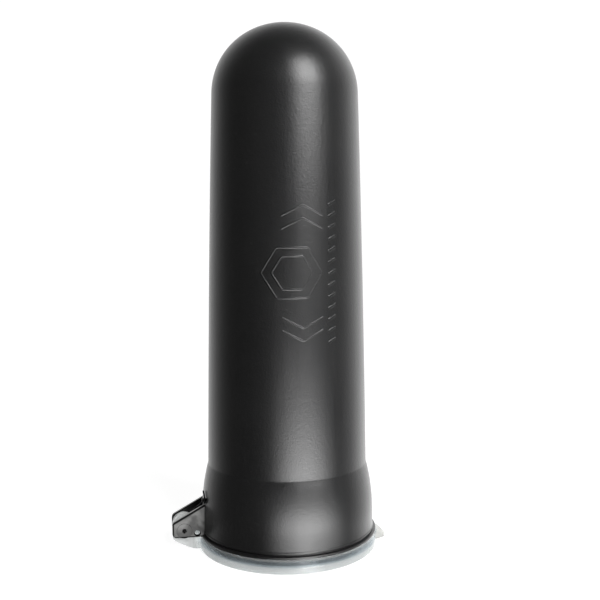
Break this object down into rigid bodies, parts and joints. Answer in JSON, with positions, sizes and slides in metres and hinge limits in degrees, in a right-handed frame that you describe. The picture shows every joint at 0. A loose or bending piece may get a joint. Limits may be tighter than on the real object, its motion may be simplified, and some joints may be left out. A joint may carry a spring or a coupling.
{
  "type": "paintball pod",
  "caption": "Domed, tapered black plastic tube with a flared mouth and a spring-loaded clear flip lid, for carrying paintballs.",
  "frame": {"origin": "middle of the lid's outer face, which the pod stands on", "axes": "+Z along the tube towards its dome, hinge on -X with its pin along Y, thumb tab on +X"},
  "size_m": [0.0949, 0.0786, 0.2264],
  "materials": {
    "body_plastic": "black moulded polymer, satin with a fine moulded grain",
    "clear_plastic": "clear, slightly milky moulded polymer",
    "pin_steel": "plain steel pin",
    "spring_steel": "dark spring wire"
  },
  "bodies": {
    "pod": {"pod_body": "body_plastic", "hinge_pin": "pin_steel", "torsion_spring": "spring_steel"},
    "lid": {"lid": "clear_plastic"}
  },
  "joints": [
    {"name": "lid_hinge", "type": "hinge", "parent": "pod", "child": "lid", "pos_m": [-0.04605, 0, 0.00935], "axis": [0, 1, 0], "range_deg": [0, 180], "deforming": ["torsion_spring"]}
  ]
}
